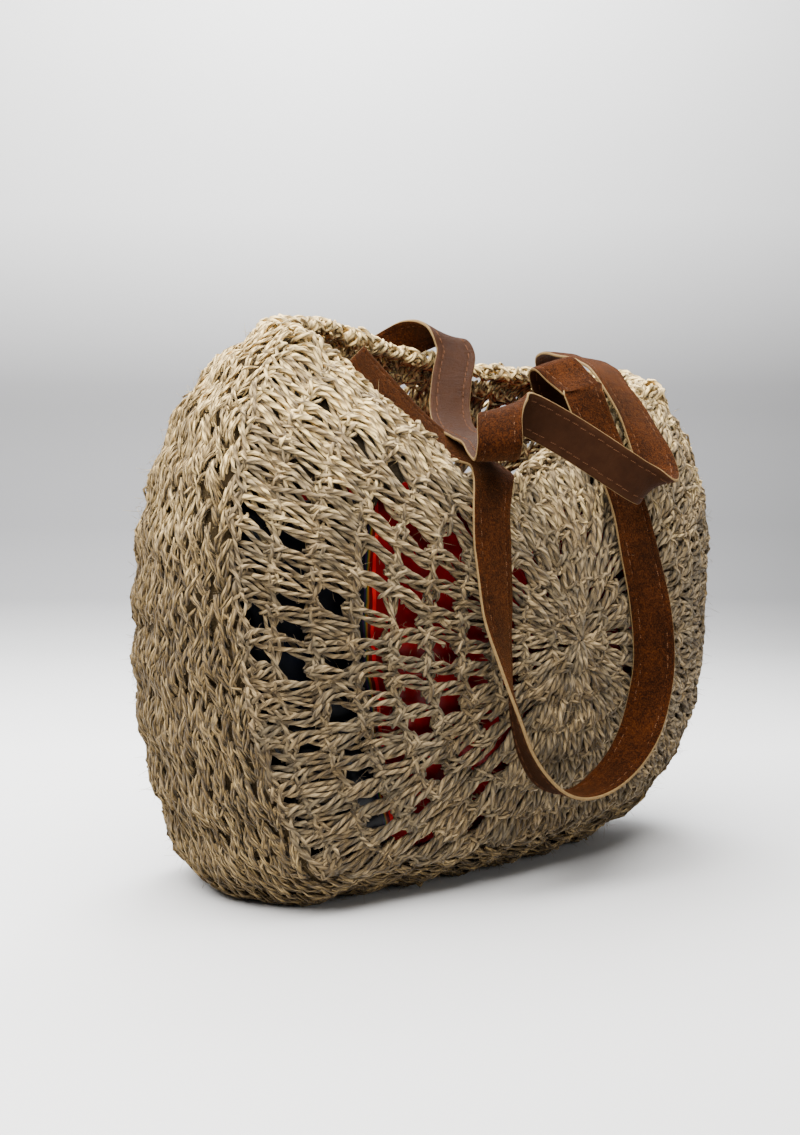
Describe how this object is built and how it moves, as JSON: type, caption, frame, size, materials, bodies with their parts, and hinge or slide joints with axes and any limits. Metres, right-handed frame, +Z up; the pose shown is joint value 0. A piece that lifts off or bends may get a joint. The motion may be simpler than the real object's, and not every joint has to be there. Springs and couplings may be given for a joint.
{
  "type": "side bag",
  "caption": "Crocheted hemp shoulder bag: round pierced panels, ribbed gusset, open mouth, red lining and long leather straps hanging in loops.",
  "frame": {"origin": "middle of the flat underside, on the surface it stands on", "axes": "+X along the length towards the blunt end, -Y the way the front panel faces, +Z up"},
  "size_m": [0.3861, 0.2268, 0.3235],
  "materials": {
    "yarn": "rough natural hemp yarn",
    "coated_cloth": "glossy coated cloth",
    "leather": "satin, suede on the inner face"
  },
  "bodies": {
    "root": {"front_panel": "yarn", "back_panel": "yarn", "side_gusset": "yarn", "mouth_edging": "yarn", "lining": "coated_cloth", "front_strap": "leather", "back_strap": "leather"}
  },
  "joints": []
}
